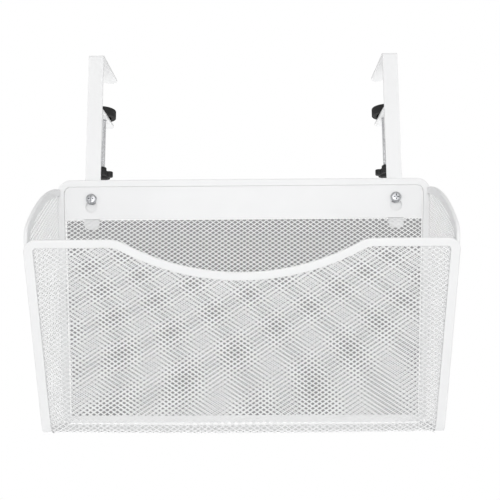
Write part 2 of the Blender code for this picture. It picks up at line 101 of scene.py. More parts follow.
SIDE_TOE = 0.0044  # how far the side mesh's lower front corner is cut back at the bend
MESH_TOP = BAND_LOW.z - BASE_Z - GAP
MESH_INSET = RIM_WALL + GAP
BAND_CORNER = 0.0070
BAND_INSET = RIM_WIDTH + 0.0009
KEYHOLE_RADIUS = 0.0053
KEYHOLE_DROP = 0.0070
SLOT_RADIUS = 0.00275
STRAP_END_CORNER = 0.0055
STRAP_BEND = 0.0020

# ---- Expanded metal ---------------------------------------------------------------------
DIAMOND_LONG = 0.00565
DIAMOND_SHORT = 0.0038
STRAND = 0.00070  # width in the panel's plane
STRAND_THICKNESS = 0.00048
STRAND_TILT = 0.00009
FRONT_SLACK = 0.0011  # how far the front mesh bows out at the bend
SLACK_HALF_WIDTH = 0.150
SLACK_HEIGHT = 0.060

# ---- Clamps and band screws, as in the CAD ----------------------------------------------
NUT_FLATS = 0.0130
NUT_HEIGHT = 0.0035
NUT_BORE = 0.0042
PAD_WEB = 0.0018
SPIGOT_BORE = 0.0032
PAD_SOCKET = 0.0085
THRUST_WASHER_THICKNESS = 0.0008
SPIGOT_RADIUS = 0.0029
LOBES = 6
LOBE_CENTRE = 0.0086
LOBE_RADIUS = 0.0030
LOBE_VALLEY = 0.0080
LOBE_TOP = -0.0040  # below the top of the knob's collar, like LOBE_BASE
LOBE_BASE = -0.0097
KNOB_BORE = 0.0042
HEAD_RADIUS = 0.0048
SHANK_RADIUS = 0.00245
SHANK_PAST_NUT = 0.0009
BAND_NUT_FLATS = 0.0080
BAND_BORE = 0.00275
BAND_WASHER_RADIUS = 0.0050

# ---- Edges and threads that the CAD has sharper or leaves out ---------------------------
EDGE_ROUNDING = 0.00035
NUT_CHAMFER = 0.0005
PAD_EDGE = 0.0011
KNOB_EDGE = 0.0009
LOBE_BLEND = 0.0011
ROD_PITCH = 0.00125
ROD_THREAD_DEPTH = 0.00045
SHANK_PITCH = 0.0008
SHANK_THREAD_DEPTH = 0.0004
HEAD_WALL = 0.30  # share of the head's height below its crown
CUTTER_REACH = 0.004  # cutters pass right through the sheet


def basket(x, depth_y, height):
    return Vector((x, BACK_Y + depth_y, BASE_Z + height))


def half_width(height):
    return HALF_WIDTH_BASE + (HALF_WIDTH_TOP - HALF_WIDTH_BASE) * height / TAPER_HEIGHT


def heading(angle):
    return Vector((math.cos(angle), math.sin(angle)))


class OneBend:
    """A path in the YZ plane: straight, one clockwise bend, straight again."""

    def __init__(self, start, angle, run, radius, turn):
        self.start, self.angle, self.run = Vector(start), angle, run
        self.radius, self.turn = radius, turn
        self.bend_end = run + radius * turn

    def at(self, length):
        turned = min(max((length - self.run) / self.radius, 0.0), self.turn)
        point = self.start + heading(self.angle) * min(length, self.run)
        centre = point + heading(self.angle - math.pi / 2) * self.radius
        normal = heading(self.angle - turned - math.pi / 2)
        if length > self.run:
            point = centre - normal * self.radius
        if length > self.bend_end:
            point = point + heading(self.angle - self.turn) * (length - self.bend_end)
        return point, normal

    def lengths(self, steps):
        return [self.run + self.radius * self.turn * i / steps for i in range(steps + 1)]


LEAN = math.atan2(DEPTH_TOP - DEPTH_BASE, FRONT_HEIGHT)
SHEET_TURN = math.pi / 2 - LEAN
SHEET_RADIUS = BEND_RADIUS - HALF_RIM
SHEET_START = -(HALF_RIM + GAP)
SHEET_CORNER = -DEPTH_BASE + HALF_RIM * math.tan(SHEET_TURN / 2)
SHEET_RUN = SHEET_START - SHEET_CORNER - SHEET_RADIUS * math.tan(SHEET_TURN / 2)
SHEET = OneBend((SHEET_START, HALF_RIM), math.pi, SHEET_RUN, SHEET_RADIUS, SHEET_TURN)
SHEET_TOP = SHEET.bend_end + (FRONT_HEIGHT - SHEET.at(SHEET.bend_end)[0].y) / math.cos(LEAN)


# ---- Surfaces ---------------------------------------------------------------------------
def back_surface(point, off):
    return basket(point.x, off, point.y)


def front_surface(point, off):
    place, normal = SHEET.at(point.y)
    place = place + normal * off
    return basket(point.x, place.x, place.y)


def slack_surface(point, off):
    """The front mesh hangs a little slack between its rims, most of all at the bend."""
    across = max(0.0, 1.0 - (point.x / SLACK_HALF_WIDTH) ** 2)
    along = min(1.0, max(0.0, 1.0 - (point.y - SHEET.bend_end) / SLACK_HEIGHT))
    return front_surface(point, off - FRONT_SLACK * across * along)


def side_surface(sign):
    def surface(point, off):
        return basket(sign * (half_width(point.y) - HALF_RIM + off), point.x, point.y)

    return surface


def strip_surface(x, path):
    def surface(point, off):
        place, normal = path.at(point.y)
        place = place + normal * off
        return Vector((x + point.x, place.x, place.y))

    return surface


# ---- Outlines ---------------------------------------------------------------------------
def arc(centre, radius, first, last, steps):
    angles = [first + (last - first) * i / steps for i in range(steps + 1)]
    return [Vector(centre) + heading(a) * radius for a in angles]


def rounded(corners, closed=True, steps=14):
    points, count = [], len(corners)
    for i, (x, y, radius) in enumerate(corners):
        here = Vector((x, y))
        if radius == 0 or (not closed and i in (0, count - 1)):
            points.append(here)
            continue
        before = (Vector(corners[i - 1][:2]) - here).normalized()
        after = (Vector(corners[(i + 1) % count][:2]) - here).normalized()
        half = before.angle(after) / 2
        centre = here + (before + after).normalized() * radius / math.sin(half)
        first = here + before * radius / math.tan(half) - centre
        last = here + after * radius / math.tan(half) - centre
        sweep = first.angle_signed(last)
        start = math.atan2(first.y, first.x)
        points += arc(centre, radius, start, start - sweep, steps)
    return points


def mitres(path, closed):
    found, count = [], len(path)
    for i, point in enumerate(path):
        before = path[i - 1] if closed or i else None
        after = path[(i + 1) % count] if closed or i < count - 1 else None
        steps = []
        if before is not None:
            steps.append((point - before).normalized())
        if after is not None:
            steps.append((after - point).normalized())
        sides = [Vector((s.y, -s.x)) for s in steps]
        mean = (sides[0] + sides[-1]).normalized()
        found.append(mean / mean.dot(sides[0]))
    return found


def inset(path, distance, closed=False):
    return [p + m * distance for p, m in zip(path, mitres(path, closed))]


def back_outline():
    low, high = half_width(BACK_BASE), half_width(BACK_HEIGHT)
    return rounded(
        [
            (-low, BACK_BASE, BACK_LOWER_CORNER),
            (-high, BACK_HEIGHT, BACK_CORNER),
            (high, BACK_HEIGHT, BACK_CORNER),
            (low, BACK_BASE, BACK_LOWER_CORNER),
        ]
    )


def front_edge(length):
    return half_width(SHEET.at(length)[0].y)


def front_top_edge():
    reach = math.sqrt(DIP_DEPTH * (2 * (DIP_RADIUS + DIP_SHOULDER) - DIP_DEPTH))
    swing = math.asin(reach / (DIP_RADIUS + DIP_SHOULDER))
    down, up = -math.pi / 2, math.pi / 2
    shoulder = SHEET_TOP - DIP_SHOULDER
    centre = (0.0, SHEET_TOP - DIP_DEPTH + DIP_RADIUS)
    falling = arc((-reach, shoulder), DIP_SHOULDER, up, up - swing, 14)
    bowl = arc(centre, DIP_RADIUS, down - swing, down + swing, 56)
    rising = arc((reach, shoulder), DIP_SHOULDER, up + swing, up, 14)
    return falling + bowl[1:-1] + rising


def front_outline():
    side = [Vector((-front_edge(v), v)) for v in [0.0] + SHEET.lengths(16)]
    width = front_edge(SHEET_TOP)
    top = rounded(
        [(*side[-1], 0), (-width, SHEET_TOP, FRONT_CORNER), (0.0, SHEET_TOP, 0)], closed=False
    )[1:-1]
    left = side + top
    right = [Vector((-p.x, p.y)) for p in reversed(left)]
    return left + front_top_edge() + right


def side_outline():
    slope = (2 * HALF_RIM + GAP) / math.cos(LEAN) - DEPTH_BASE

    def front(height):
        return slope - math.tan(LEAN) * height

    bend = BEND_RADIUS
    turn_height = (SIDE_FRONT_DEPTH + slope) / math.tan(LEAN)
    first = Vector((-SIDE_ARC_DEPTH, SIDE_ARC_HEIGHT))
    last = Vector((-HALF_RIM - GAP, SIDE_BACK_HEIGHT))
    chord = last - first
    half = math.asin(chord.length / 2 / SIDE_ARC_RADIUS)
    middle = (first + last) / 2 + Vector((chord.y, -chord.x)).normalized() * (
        SIDE_ARC_RADIUS * math.cos(half)
    )
    start = math.atan2(first.y - middle.y, first.x - middle.x)
    top = arc(middle, SIDE_ARC_RADIUS, start, start - 2 * half, 36)
    lower = rounded(
        [
            (front(bend), bend, 0),
            (front(SIDE_RIM_START), SIDE_RIM_START, 0),
            (-SIDE_FRONT_DEPTH, turn_height, 0),
            (-SIDE_FRONT_DEPTH, SIDE_CORNER_HEIGHT, SIDE_CORNER),
            (*top[0], 0),
        ],
        closed=False,
    )
    return lower + top[1:]


# ---- Materials --------------------------------------------------------------------------
def grained(name, colour, roughness, metallic, blotch, blotch_scale, grain_scale, bump, spread):
    """A finish with slow colour variation, uneven gloss and a fine raised grain."""
    made = bpy.data.materials.new(name)
    made.use_nodes = True
    nodes, links = made.node_tree.nodes, made.node_tree.links
    shader = nodes["Principled BSDF"]
    shader.inputs["Metallic"].default_value = metallic
    place = nodes.new("ShaderNodeTexCoord")
    slow = nodes.new("ShaderNodeTexNoise")
    slow.inputs["Scale"].default_value = blotch_scale
    slow.inputs["Detail"].default_value = 3.0
    fine = nodes.new("ShaderNodeTexNoise")
    fine.inputs["Scale"].default_value = grain_scale
    fine.inputs["Detail"].default_value = 2.0
    links.new(place.outputs["Object"], slow.inputs["Vector"])
    links.new(place.outputs["Object"], fine.inputs["Vector"])
    ramp = nodes.new("ShaderNodeValToRGB")
    ramp.color_ramp.elements[0].position = 0.3
    ramp.color_ramp.elements[0].color = (*[c * (1 - blotch) for c in colour], 1)
    ramp.color_ramp.elements[1].position = 0.7
    ramp.color_ramp.elements[1].color = (*colour, 1)
    links.new(slow.outputs["Fac"], ramp.inputs["Fac"])
    links.new(ramp.outputs["Color"], shader.inputs["Base Color"])
    gloss = nodes.new("ShaderNodeMapRange")
    gloss.inputs["From Min"].default_value = 0.3
    gloss.inputs["From Max"].default_value = 0.7
    gloss.inputs["To Min"].default_value = roughness - spread
    gloss.inputs["To Max"].default_value = roughness + spread
    links.new(fine.outputs["Fac"], gloss.inputs["Value"])
    links.new(gloss.outputs["Result"], shader.inputs["Roughness"])
    raised = nodes.new("ShaderNodeBump")
    raised.inputs["Strength"].default_value = bump
    raised.inputs["Distance"].default_value = 0.0001
    links.new(fine.outputs["Fac"], raised.inputs["Height"])
    links.new(raised.outputs["Normal"], shader.inputs["Normal"])
    return made


PAINT = grained("powder_coat", (0.905, 0.908, 0.911), 0.42, 0.0, 0.02, 26, 1500, 0.18, 0.07)
MESH_PAINT = grained("powder_coat_mesh", (0.93, 0.932, 0.934), 0.5, 0.0, 0.04, 60, 1800, 0.2, 0.06)
ZINC = grained("zinc_plate", (0.84, 0.845, 0.86), 0.24, 1.0, 0.10, 420, 2600, 0.10, 0.07)
SCREW_ZINC = grained("zinc_screw", (0.70, 0.71, 0.73), 0.34, 1.0, 0.5, 1000, 2600, 0.25, 0.10)
PLASTIC = grained("moulded_plastic", (0.008, 0.008, 0.0084), 0.55, 0.0, 0.25, 90, 3200, 0.30, 0.08)
RUBBER = grained("moulded_rubber", (0.012, 0.012, 0.0124), 0.75, 0.0, 0.25, 120, 2400, 0.35, 0.07)


# ---- Pieces -----------------------------------------------------------------------------
def add_piece(name, mesh, finish, body, nodes, smooth=None):
    if smooth is not None:
        mesh.shade_smooth()
        mesh.set_sharp_from_angle(angle=math.radians(smooth))
    made = bpy.data.objects.new(name, mesh)
    mesh.materials.append(finish)
    bpy.context.scene.collection.objects.link(made)
    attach(made, body)
    if nodes:
        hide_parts(*nodes)
    return made


def mesh_of(name, build):
    bmesh.ops.recalc_face_normals(build, faces=build.faces[:])
    mesh = bpy.data.meshes.new(name)
    build.to_mesh(mesh)
    build.free()
    return mesh


def loft(build, rings, cyclic):
    loops = [[build.verts.new(p) for p in ring] for ring in rings]
    count = len(loops[0])
    pairs = list(zip(loops, loops[1:]))
    if cyclic:
        pairs.append((loops[-1], loops[0]))
    for near, far in pairs:
        for i in range(count):
            j = (i + 1) % count
            build.faces.new((near[i], near[j], far[j], far[i]))
    if not cyclic:
        build.faces.new(loops[0])
        build.faces.new(loops[-1])


def soften(made, width, segments=3, angle=50):
    """Round the piece's edges and keep its flats looking flat."""
    edge = made.modifiers.new("edge", "BEVEL")
    edge.width = width
    edge.segments = segments
    edge.limit_method = "ANGLE"
    edge.angle_limit = math.radians(angle)
    edge.miter_outer = "MITER_ARC"
    flat = made.modifiers.new("flat", "WEIGHTED_NORMAL")
    flat.keep_sharp = True


def rim_section(width):
    """A hem rolled from thin sheet: round outer fold, slot, and two softened lips."""
    half, wall = HALF_RIM, RIM_WALL
    fold, lip = 0.0012, 0.00032
    points = arc((fold, -half + fold), fold, math.pi, 1.5 * math.pi, 6)
    points += arc((width - lip, -half + lip), lip, -math.pi / 2, 0, 3)
    points += [Vector((width, -half + wall)), Vector((wall, -half + wall))]
    points += [Vector((p.x, -p.y)) for p in reversed(points)]
    return points


def front_rim_width(point):
    inboard = (front_edge(point.y) - abs(point.x)) / FRONT_CORNER
    return RIM_WIDTH + (FRONT_SIDE_WIDTH - RIM_WIDTH) * min(max(1.0 - inboard, 0.0), 1.0)


def rim(name, path, surface, width=lambda point: RIM_WIDTH, closed=False, upright_end=False):
    build = bmesh.new()
    sides = mitres(path, closed)
    if upright_end:
        sides[-1] = Vector((0.0, 1.0 / sides[-1].y))
    rings = [
        [surface(p + m * q.x, q.y) for q in rim_section(width(p))] for p, m in zip(path, sides)
    ]
    loft(build, rings, closed)
    made = add_piece(name + "_hem", mesh_of(name, build), PAINT, "rack", [name], smooth=46)
    flat = made.modifiers.new("flat", "WEIGHTED_NORMAL")
    flat.keep_sharp = True
    return made


def inside(points, polygon):
    """Which points lie inside the polygon, by counting crossings."""
    x, y = points[:, 0], points[:, 1]
    hit = np.zeros(len(points), bool)
    for a, b in zip(polygon, np.roll(polygon, -1, axis=0)):
        between = (a[1] > y) != (b[1] > y)
        rise = b[1] - a[1] if b[1] != a[1] else 1e-12
        hit ^= between & (x < (b[0] - a[0]) * (y - a[1]) / rise + a[0])
    return hit


def to_edge(points, polygon):
    """Move each point to the nearest point of the polygon's edge."""
    best = np.full(len(points), np.inf)
    place = points.copy()
    for a, b in zip(polygon, np.roll(polygon, -1, axis=0)):
        along = b - a
        size = max(along @ along, 1e-18)
        share = np.clip(((points - a) @ along) / size, 0, 1)
        near = a + share[:, None] * along
        gap = np.linalg.norm(points - near, axis=1)
        closer = gap < best
        best[closer], place[closer] = gap[closer], near[closer]
    return place


def expanded_metal(name, loop, surface, nodes, across=0.0, up=0.0, twist=0.0, stretch=1.0):
    """A panel of expanded metal: diamond openings between slanted strands, inside loop.
    across and up shift the pattern, twist turns it, in degrees, and stretch scales it."""
    polygon = np.array([(p.x, p.y) for p in loop])
    long, short = DIAMOND_LONG / 2 * stretch, DIAMOND_SHORT / 2 * stretch
    low, high = polygon.min(0), polygon.max(0)
    spare = 6
    i = np.arange(
        math.floor((low[0] - across) / long) - spare, math.ceil((high[0] - across) / long) + spare
    )
    j = np.arange(
        math.floor((low[1] - up) / short) - spare, math.ceil((high[1] - up) / short) + spare
    )
    c, s = math.cos(math.radians(twist)), math.sin(math.radians(twist))
    turned_by = np.array([[c, s], [-s, c]])
    grid_i, grid_j = [g.ravel() for g in np.meshgrid(i, j)]
    even = (grid_i + grid_j) % 2 == 0
    cells = np.stack([grid_i[even], grid_j[even]], 1)
    centres = cells * (long, short) + (across, up)
    keep = inside(centres @ turned_by, polygon)
    cells, centres = cells[keep], centres[keep]

    steps = np.array([(1, 0), (0, 1), (-1, 0), (0, -1)])
    corners = (cells[:, None, :] + steps[None]).reshape(-1, 2)
    unique, index = np.unique(corners, axis=0, return_inverse=True)
    outer = unique * (long, short) + (across, up)
    index = index.reshape(-1, 4)
    shrink = 1 - STRAND / 2 * math.hypot(long, short) / (long * short)
    inner = (centres[:, None, :] + steps[None] * (long, short) * shrink).reshape(-1, 2)
    lean = np.tile(np.array([0.0, STRAND_TILT, 0.0, -STRAND_TILT]), len(cells))

    flat = np.concatenate([outer, inner]) @ turned_by
    lean = np.concatenate([np.zeros(len(outer)), lean])
    beyond = ~inside(flat, polygon)
    flat[beyond] = to_edge(flat[beyond], polygon)
    count = len(flat)
    half = STRAND_THICKNESS / 2
    places = np.array(
        [surface(Vector(p), d + s) for s in (-half, half) for p, d in zip(flat, lean)]
    )
    hole = len(outer) + np.arange(len(cells) * 4).reshape(-1, 4)
    following = np.roll(np.arange(4), -1)
    front = np.stack([index, index[:, following], hole[:, following], hole], 2).reshape(-1, 4)
    rear = front[:, ::-1] + count
    wall = np.stack([hole, hole[:, following], hole[:, following] + count, hole + count], 2)
    edges = np.stack([index, index[:, following]], 2).reshape(-1, 2)
    key = np.sort(edges, 1)
    _, back, times = np.unique(key, axis=0, return_inverse=True, return_counts=True)
    rim_edges = edges[times[back.ravel()] == 1]
    border = np.stack(
        [rim_edges[:, 1], rim_edges[:, 0], rim_edges[:, 0] + count, rim_edges[:, 1] + count], 1
    )
    faces = np.concatenate([front, rear, wall.reshape(-1, 4), border])
    mesh = bpy.data.meshes.new(name)
    mesh.from_pydata(places.tolist(), [], faces.tolist())
    mesh.update()
    return add_piece(name, mesh, MESH_PAINT, "rack", nodes)


def plate(name, loop, surface, thickness, rungs=1, middle=0.0):
    """A thin panel.  Its first and last `rungs` points face each other across it."""
    build = bmesh.new()
    for off in (-thickness / 2, thickness / 2):
        verts = [build.verts.new(surface(p, middle + off)) for p in loop]
        for i in range(rungs - 1):
            build.faces.new((verts[i], verts[i + 1], verts[-2 - i], verts[-1 - i]))
        if len(loop) > 2 * rungs:
            build.faces.new(verts[rungs - 1 : len(loop) - rungs + 1])
    build.verts.ensure_lookup_table()
    count = len(loop)
    for i in range(count):
        j = (i + 1) % count
        build.faces.new([build.verts[k] for k in (i, j, count + j, count + i)])
    return mesh_of(name, build)


def strip(name, x, path, lengths, width, corners, thickness):
    total = lengths[-1]
    rounding = [1 - math.cos(math.pi / 2 * i / 10) for i in range(11)]
    first = [corners[0] * k for k in rounding] if corners[0] else [0.0]
    last = [total - corners[1] * k for k in reversed(rounding)] if corners[1] else [total]
    stations = first + list(lengths[:-1]) + last

    def half(length):
        for radius, away in ((corners[0], length), (corners[1], total - length)):
            if away < radius:
                return width / 2 - radius + math.sqrt(radius**2 - (radius - away) ** 2)
        return width / 2

    left = [Vector((-half(v), v)) for v in stations]
    right = [Vector((-p.x, p.y)) for p in reversed(left)]
    return plate(name, left + right, strip_surface(x, path), thickness, rungs=len(left))


def turned(name, profile, place, through=False, count=64, along_y=False):
    """Mesh of a round piece from (radius, height) pairs.  A radius may be a function of the
    angle.  A through piece is a closed section with a bore; along_y lays it along -Y."""
    build = bmesh.new()
    angles = [2 * math.pi * i / count for i in range(count)]
    rings = []
    for radius, height in profile:
        size = radius if callable(radius) else lambda angle, r=radius: r
        rings.append([Vector((*(heading(a) * size(a)), height)) for a in angles])
    loft(build, rings, through)
    mesh = mesh_of(name, build)
    turn = Matrix.Rotation(math.pi / 2, 4, "X") if along_y else Matrix.Identity(4)
    mesh.transform(Matrix.Translation(place) @ turn)
    return mesh


def cut(target, cutters):
    """Take cutters out of target for good, and drop them."""
    for cutter in cutters:
        tool = bpy.data.objects.new("tool", cutter)
        bpy.context.scene.collection.objects.link(tool)
        step = target.modifiers.new("hole", "BOOLEAN")
        step.operation = "DIFFERENCE"
        step.solver = "EXACT"
        step.object = tool
        bpy.context.view_layer.update()
        solid = target.evaluated_get(bpy.context.evaluated_depsgraph_get())
        done = bpy.data.meshes.new_from_object(solid)
        target.modifiers.remove(step)
        target.data = done
        bpy.data.objects.remove(tool)


def hexagon(across_flats):
    def radius(angle):
        return across_flats / 2 / math.cos((angle + math.pi / 6) % (math.pi / 3) - math.pi / 6)

    return radius


def chamfered(across_flats, limit):
    flat = hexagon(across_flats)
    return lambda angle: min(flat(angle), limit)


def star(shrink=0.0):
    """Outline of the knob: round lobes, blended into a round body, drawn in by shrink."""
    pitch = 2 * math.pi / LOBES
    lobe = LOBE_RADIUS - shrink

    def radius(angle):
        away = (angle + pitch / 2) % pitch - pitch / 2
        across = LOBE_CENTRE * math.sin(away)
        valley = LOBE_VALLEY - shrink
        if abs(across) >= lobe:
            return valley
        reach = LOBE_CENTRE * math.cos(away) + math.sqrt(lobe**2 - across**2)
        mix = min(max((reach - valley) / LOBE_BLEND * 0.5 + 0.5, 0.0), 1.0)
        bulge = LOBE_BLEND * mix * (1 - mix) * 0.5
        return min(valley + (reach - valley) * mix + bulge, reach + shrink)

    return radius


# ---- The pocket -------------------------------------------------------------------------
def make_pocket():
    back = back_outline()
    rim("back_rim", back, back_surface, closed=True)
    inner = [p for p in inset(back, MESH_INSET, closed=True) if p.y < MESH_TOP]
    turn = max(range(len(inner)), key=lambda i: inner[i].x - inner[i - 1].x)
    inner = inner[turn:] + inner[:turn]
    width = half_width(MESH_TOP) - MESH_INSET
    loop = inner + [Vector((-width, MESH_TOP)), Vector((width, MESH_TOP))]
    expanded_metal("back_expanded_metal", loop, back_surface, ["back_mesh"], 0.0, 0.0012, -0.3)

    front = front_outline()
    rim("front_rim", front, front_surface, front_rim_width)
    inner = inset(front, MESH_INSET)
    inner[0].y = inner[-1].y = 0.0
    nodes = ["front_mesh"]
    expanded_metal("front_expanded_metal", inner, slack_surface, nodes, 0.0011, 0.0, 0.8, 0.96)

    side = side_outline()
    panel = inset(side, MESH_INSET)
    floor = 2 * HALF_RIM + GAP
    rear = -HALF_RIM - GAP
    panel[-1].x = rear
    bend_in = Vector((panel[0].x + SIDE_TOE, floor))
    loop = [bend_in, *panel, Vector((rear, floor))]
    for name, sign in SIDES:
        surface = side_surface(sign)
        rim(name + "_side_rim", side[1:], surface, upright_end=True)
        expanded_metal(name + "_expanded_metal", loop, surface, [name + "_side_mesh"])


def make_band_plate():
    middle = (BAND_LOW.y + BAND_HIGH.y) / 2 - BACK_Y
    thickness = BAND_HIGH.y - BAND_LOW.y
    low_z, high_z = BAND_LOW.z - BASE_Z, BAND_HIGH.z - BASE_Z
    low, high = half_width(low_z) - BAND_INSET, half_width(high_z) - BAND_INSET
    loop = rounded(
        [
            (-low, low_z, 0),
            (-high, high_z, BAND_CORNER),
            (high, high_z, BAND_CORNER),
            (low, low_z, 0),
        ]
    )
    mesh = plate("band_plate", loop, back_surface, thickness, middle=middle)
    made = add_piece("band_plate_pressed", mesh, PAINT, "rack", ["band_plate"])
    height = SCREW_Z - BASE_Z
    cutters = []
    for _, sign in SIDES:
        x = sign * HANGER_X
        outline = arc((x, height), SLOT_RADIUS, 0, math.pi, 14)
        opening = math.asin(SLOT_RADIUS / KEYHOLE_RADIUS)
        first, last = math.pi / 2 + opening, 2.5 * math.pi - opening
        outline += arc((x, height - KEYHOLE_DROP), KEYHOLE_RADIUS, first, last, 40)
        cutters.append(plate("keyhole", outline, back_surface, CUTTER_REACH, middle=middle))
    cut(made, cutters)
    soften(made, 0.00018, 2)


# ---- The hangers ------------------------------------------------------------------------
def make_hanger(name, sign):
    x = sign * HANGER_X
    half = STRAP_THICKNESS / 2
    quarter = math.pi / 2
    foot = STRAP_LOW.z
    path = OneBend((-half, foot), quarter, half - STRAP_BEND - foot, STRAP_BEND, quarter)
    lengths = path.lengths(12) + [path.bend_end + STRAP_HIGH.y + half - STRAP_BEND]
    corners = (STRAP_END_CORNER, STRAP_END_CORNER)
    mesh = strip(name + "_strap", x, path, lengths, STRAP_WIDTH, corners, STRAP_THICKNESS)
    strap = add_piece(name + "_strap", mesh, PAINT, "rack", [name + "_hanger_strap"])
    place = Vector((x, -half, SCREW_Z))
    hole = [(SLOT_RADIUS, -CUTTER_REACH), (SLOT_RADIUS, CUTTER_REACH)]
    cut(strap, [turned("hole", hole, place, count=40, along_y=True)])
    soften(strap, EDGE_ROUNDING)

    leg_y = (GAP * 2 + STRAP_THICKNESS) / 2
    leg_z, arm_top = ARM_LOW.z, ARM_HIGH.z
    run = arm_top - half - STRAP_BEND - leg_z
    path = OneBend((leg_y, leg_z), quarter, run, STRAP_BEND, quarter)
    lengths = path.lengths(12) + [path.bend_end + ARM_HIGH.y - leg_y - STRAP_BEND]
    corners = (0.0, STRAP_END_CORNER)
    mesh = strip(name + "_arm", x, path, lengths, STRAP_WIDTH, corners, STRAP_THICKNESS)
    arm = add_piece(name + "_arm", mesh, PAINT, "rack", [name + "_clamp_arm"])
    place = Vector((x, SCREW_Y, arm_top))
    hole = [(NUT_BORE, -CUTTER_REACH), (NUT_BORE, CUTTER_REACH)]
    cut(arm, [turned("hole", hole, place, count=40)])
    soften(arm, EDGE_ROUNDING)


def thread_profile(low, high, radius, pitch, depth):
    """Rings of a right-hand thread, fading out over its first and last turn."""
    steps = int((high - low) / pitch * 6)

    def ring(height):
        fade = min(1.0, (height - low) / pitch, (high - height) / pitch)

        def size(angle):
            phase = (height / pitch - angle / (2 * math.pi)) % 1.0
            return radius - depth * max(fade, 0.0) * (1 - abs(2 * phase - 1))

        return size

    return [
        (ring(low + (high - low) * i / steps), low + (high - low) * i / steps)
        for i in range(steps + 1)
    ]


def make_clamp(name, sign):
    x = sign * HANGER_X
    arm = Vector((x, SCREW_Y, ARM_HIGH.z))
    body = name + "_screw"

    top = GAP + NUT_HEIGHT
    face, flank = chamfered(NUT_FLATS, 0.0066), chamfered(NUT_FLATS, 0.0074)
    nut = [
        (face, GAP),
        (flank, GAP + NUT_CHAMFER),
        (flank, top - NUT_CHAMFER),
        (face, top),
        (NUT_BORE + NUT_CHAMFER, top),
        (NUT_BORE, top - NUT_CHAMFER),
        (NUT_BORE, GAP + NUT_CHAMFER),
        (NUT_BORE + NUT_CHAMFER, GAP),
    ]
    mesh = turned(name + "_nut", nut, arm, through=True, count=72)
    add_piece(name + "_nut", mesh, ZINC, "rack", [name + "_clamp_nut"], smooth=30)

    pad_top = PAD_HIGH.z - arm.z
    web, radius = pad_top - PAD_WEB, (PAD_HIGH.x - PAD_LOW.x) / 2
    pad = [(SPIGOT_BORE, pad_top - 0.0009), (SPIGOT_BORE, web), (PAD_SOCKET - 0.0010, web)]
    fillet = arc((PAD_SOCKET - 0.0010, web - 0.0010), 0.0010, math.pi / 2, 0, 5)
    pad += [tuple(p) for p in fillet[1:]]
    pad += [(PAD_SOCKET, GAP + 0.0004), (PAD_SOCKET + 0.0004, GAP)]
    pad += [(radius - 0.0005, GAP), (radius, GAP + 0.0005)]
    centre = (radius - PAD_EDGE, pad_top - PAD_EDGE)
    pad += [tuple(p) for p in arc(centre, PAD_EDGE, 0, math.pi / 2, 7)]
    pad += [(0.0100, pad_top), (0.0096, pad_top - 0.00025), (0.0092, pad_top)]
    mesh = turned(name + "_pad", pad, arm, count=96)
    add_piece(name + "_pressure_pad", mesh, RUBBER, name + "_pad", [name + "_clamp_pad"], smooth=32)

    washer_top = web - GAP
    low = washer_top - THRUST_WASHER_THICKNESS
    ring = [(SPIGOT_BORE, low), (0.0069, low), (0.0070, low + 0.0001), (0.0070, washer_top - 0.0001)]
    ring += [(0.0069, washer_top), (SPIGOT_BORE, washer_top)]
    mesh = turned(name + "_washer", ring, arm, through=True)
    add_piece(name + "_washer", mesh, ZINC, name + "_pad", [name + "_thrust_washer"], smooth=40)

    shoulder, tip = low - GAP, ROD_HIGH.z - arm.z
    base = ROD_LOW.z - arm.z
    outer = (ROD_HIGH.x - ROD_LOW.x) / 2
    rod = [(outer - 0.0008, base), (outer - 0.0003, base + 0.0004)]
    rod += thread_profile(base + 0.0005, shoulder - 0.0005, outer, ROD_PITCH, ROD_THREAD_DEPTH)
    rod += [(outer - 0.0004, shoulder), (SPIGOT_RADIUS, shoulder)]
    rod += [(SPIGOT_RADIUS, tip - 0.0004), (SPIGOT_RADIUS - 0.0004, tip)]
    mesh = turned(name + "_threaded_rod", rod, arm, count=40)
    add_piece(name + "_threaded_rod", mesh, ZINC, body, [name + "_clamp_screw"], smooth=60)

    knob_top = KNOB_HIGH.z
    low_z = KNOB_LOW.z - knob_top
    profile = [(0.0044, low_z), (0.0052, low_z + 0.0003), (0.0063, low_z + 0.0010)]
    profile += [(0.0069, low_z + 0.0020), (0.0071, LOBE_BASE)]
    bulge = [
        (KNOB_EDGE * (1 - math.sin(a)), KNOB_EDGE * (1 - math.cos(a)))
        for a in np.linspace(0, math.pi / 2, 6)
    ]
    profile += [(star(drawn_in), LOBE_BASE + rise) for drawn_in, rise in bulge]
    profile += [(star(drawn_in), LOBE_TOP - rise) for drawn_in, rise in reversed(bulge)]
    profile += [(0.0060, LOBE_TOP + 0.0001), (0.0054, LOBE_TOP + 0.0006), (0.0053, -0.0006)]
    bore_end = base + arm.z - knob_top - GAP
    profile += [(0.0051, -0.0002), (0.0048, 0.0), (KNOB_BORE, 0.0), (KNOB_BORE, bore_end)]
    mesh = turned(name + "_knob", profile, Vector((x, SCREW_Y, knob_top)), count=144)
    add_piece(name + "_star_knob", mesh, PLASTIC, body, [name + "_clamp_knob"], smooth=38)


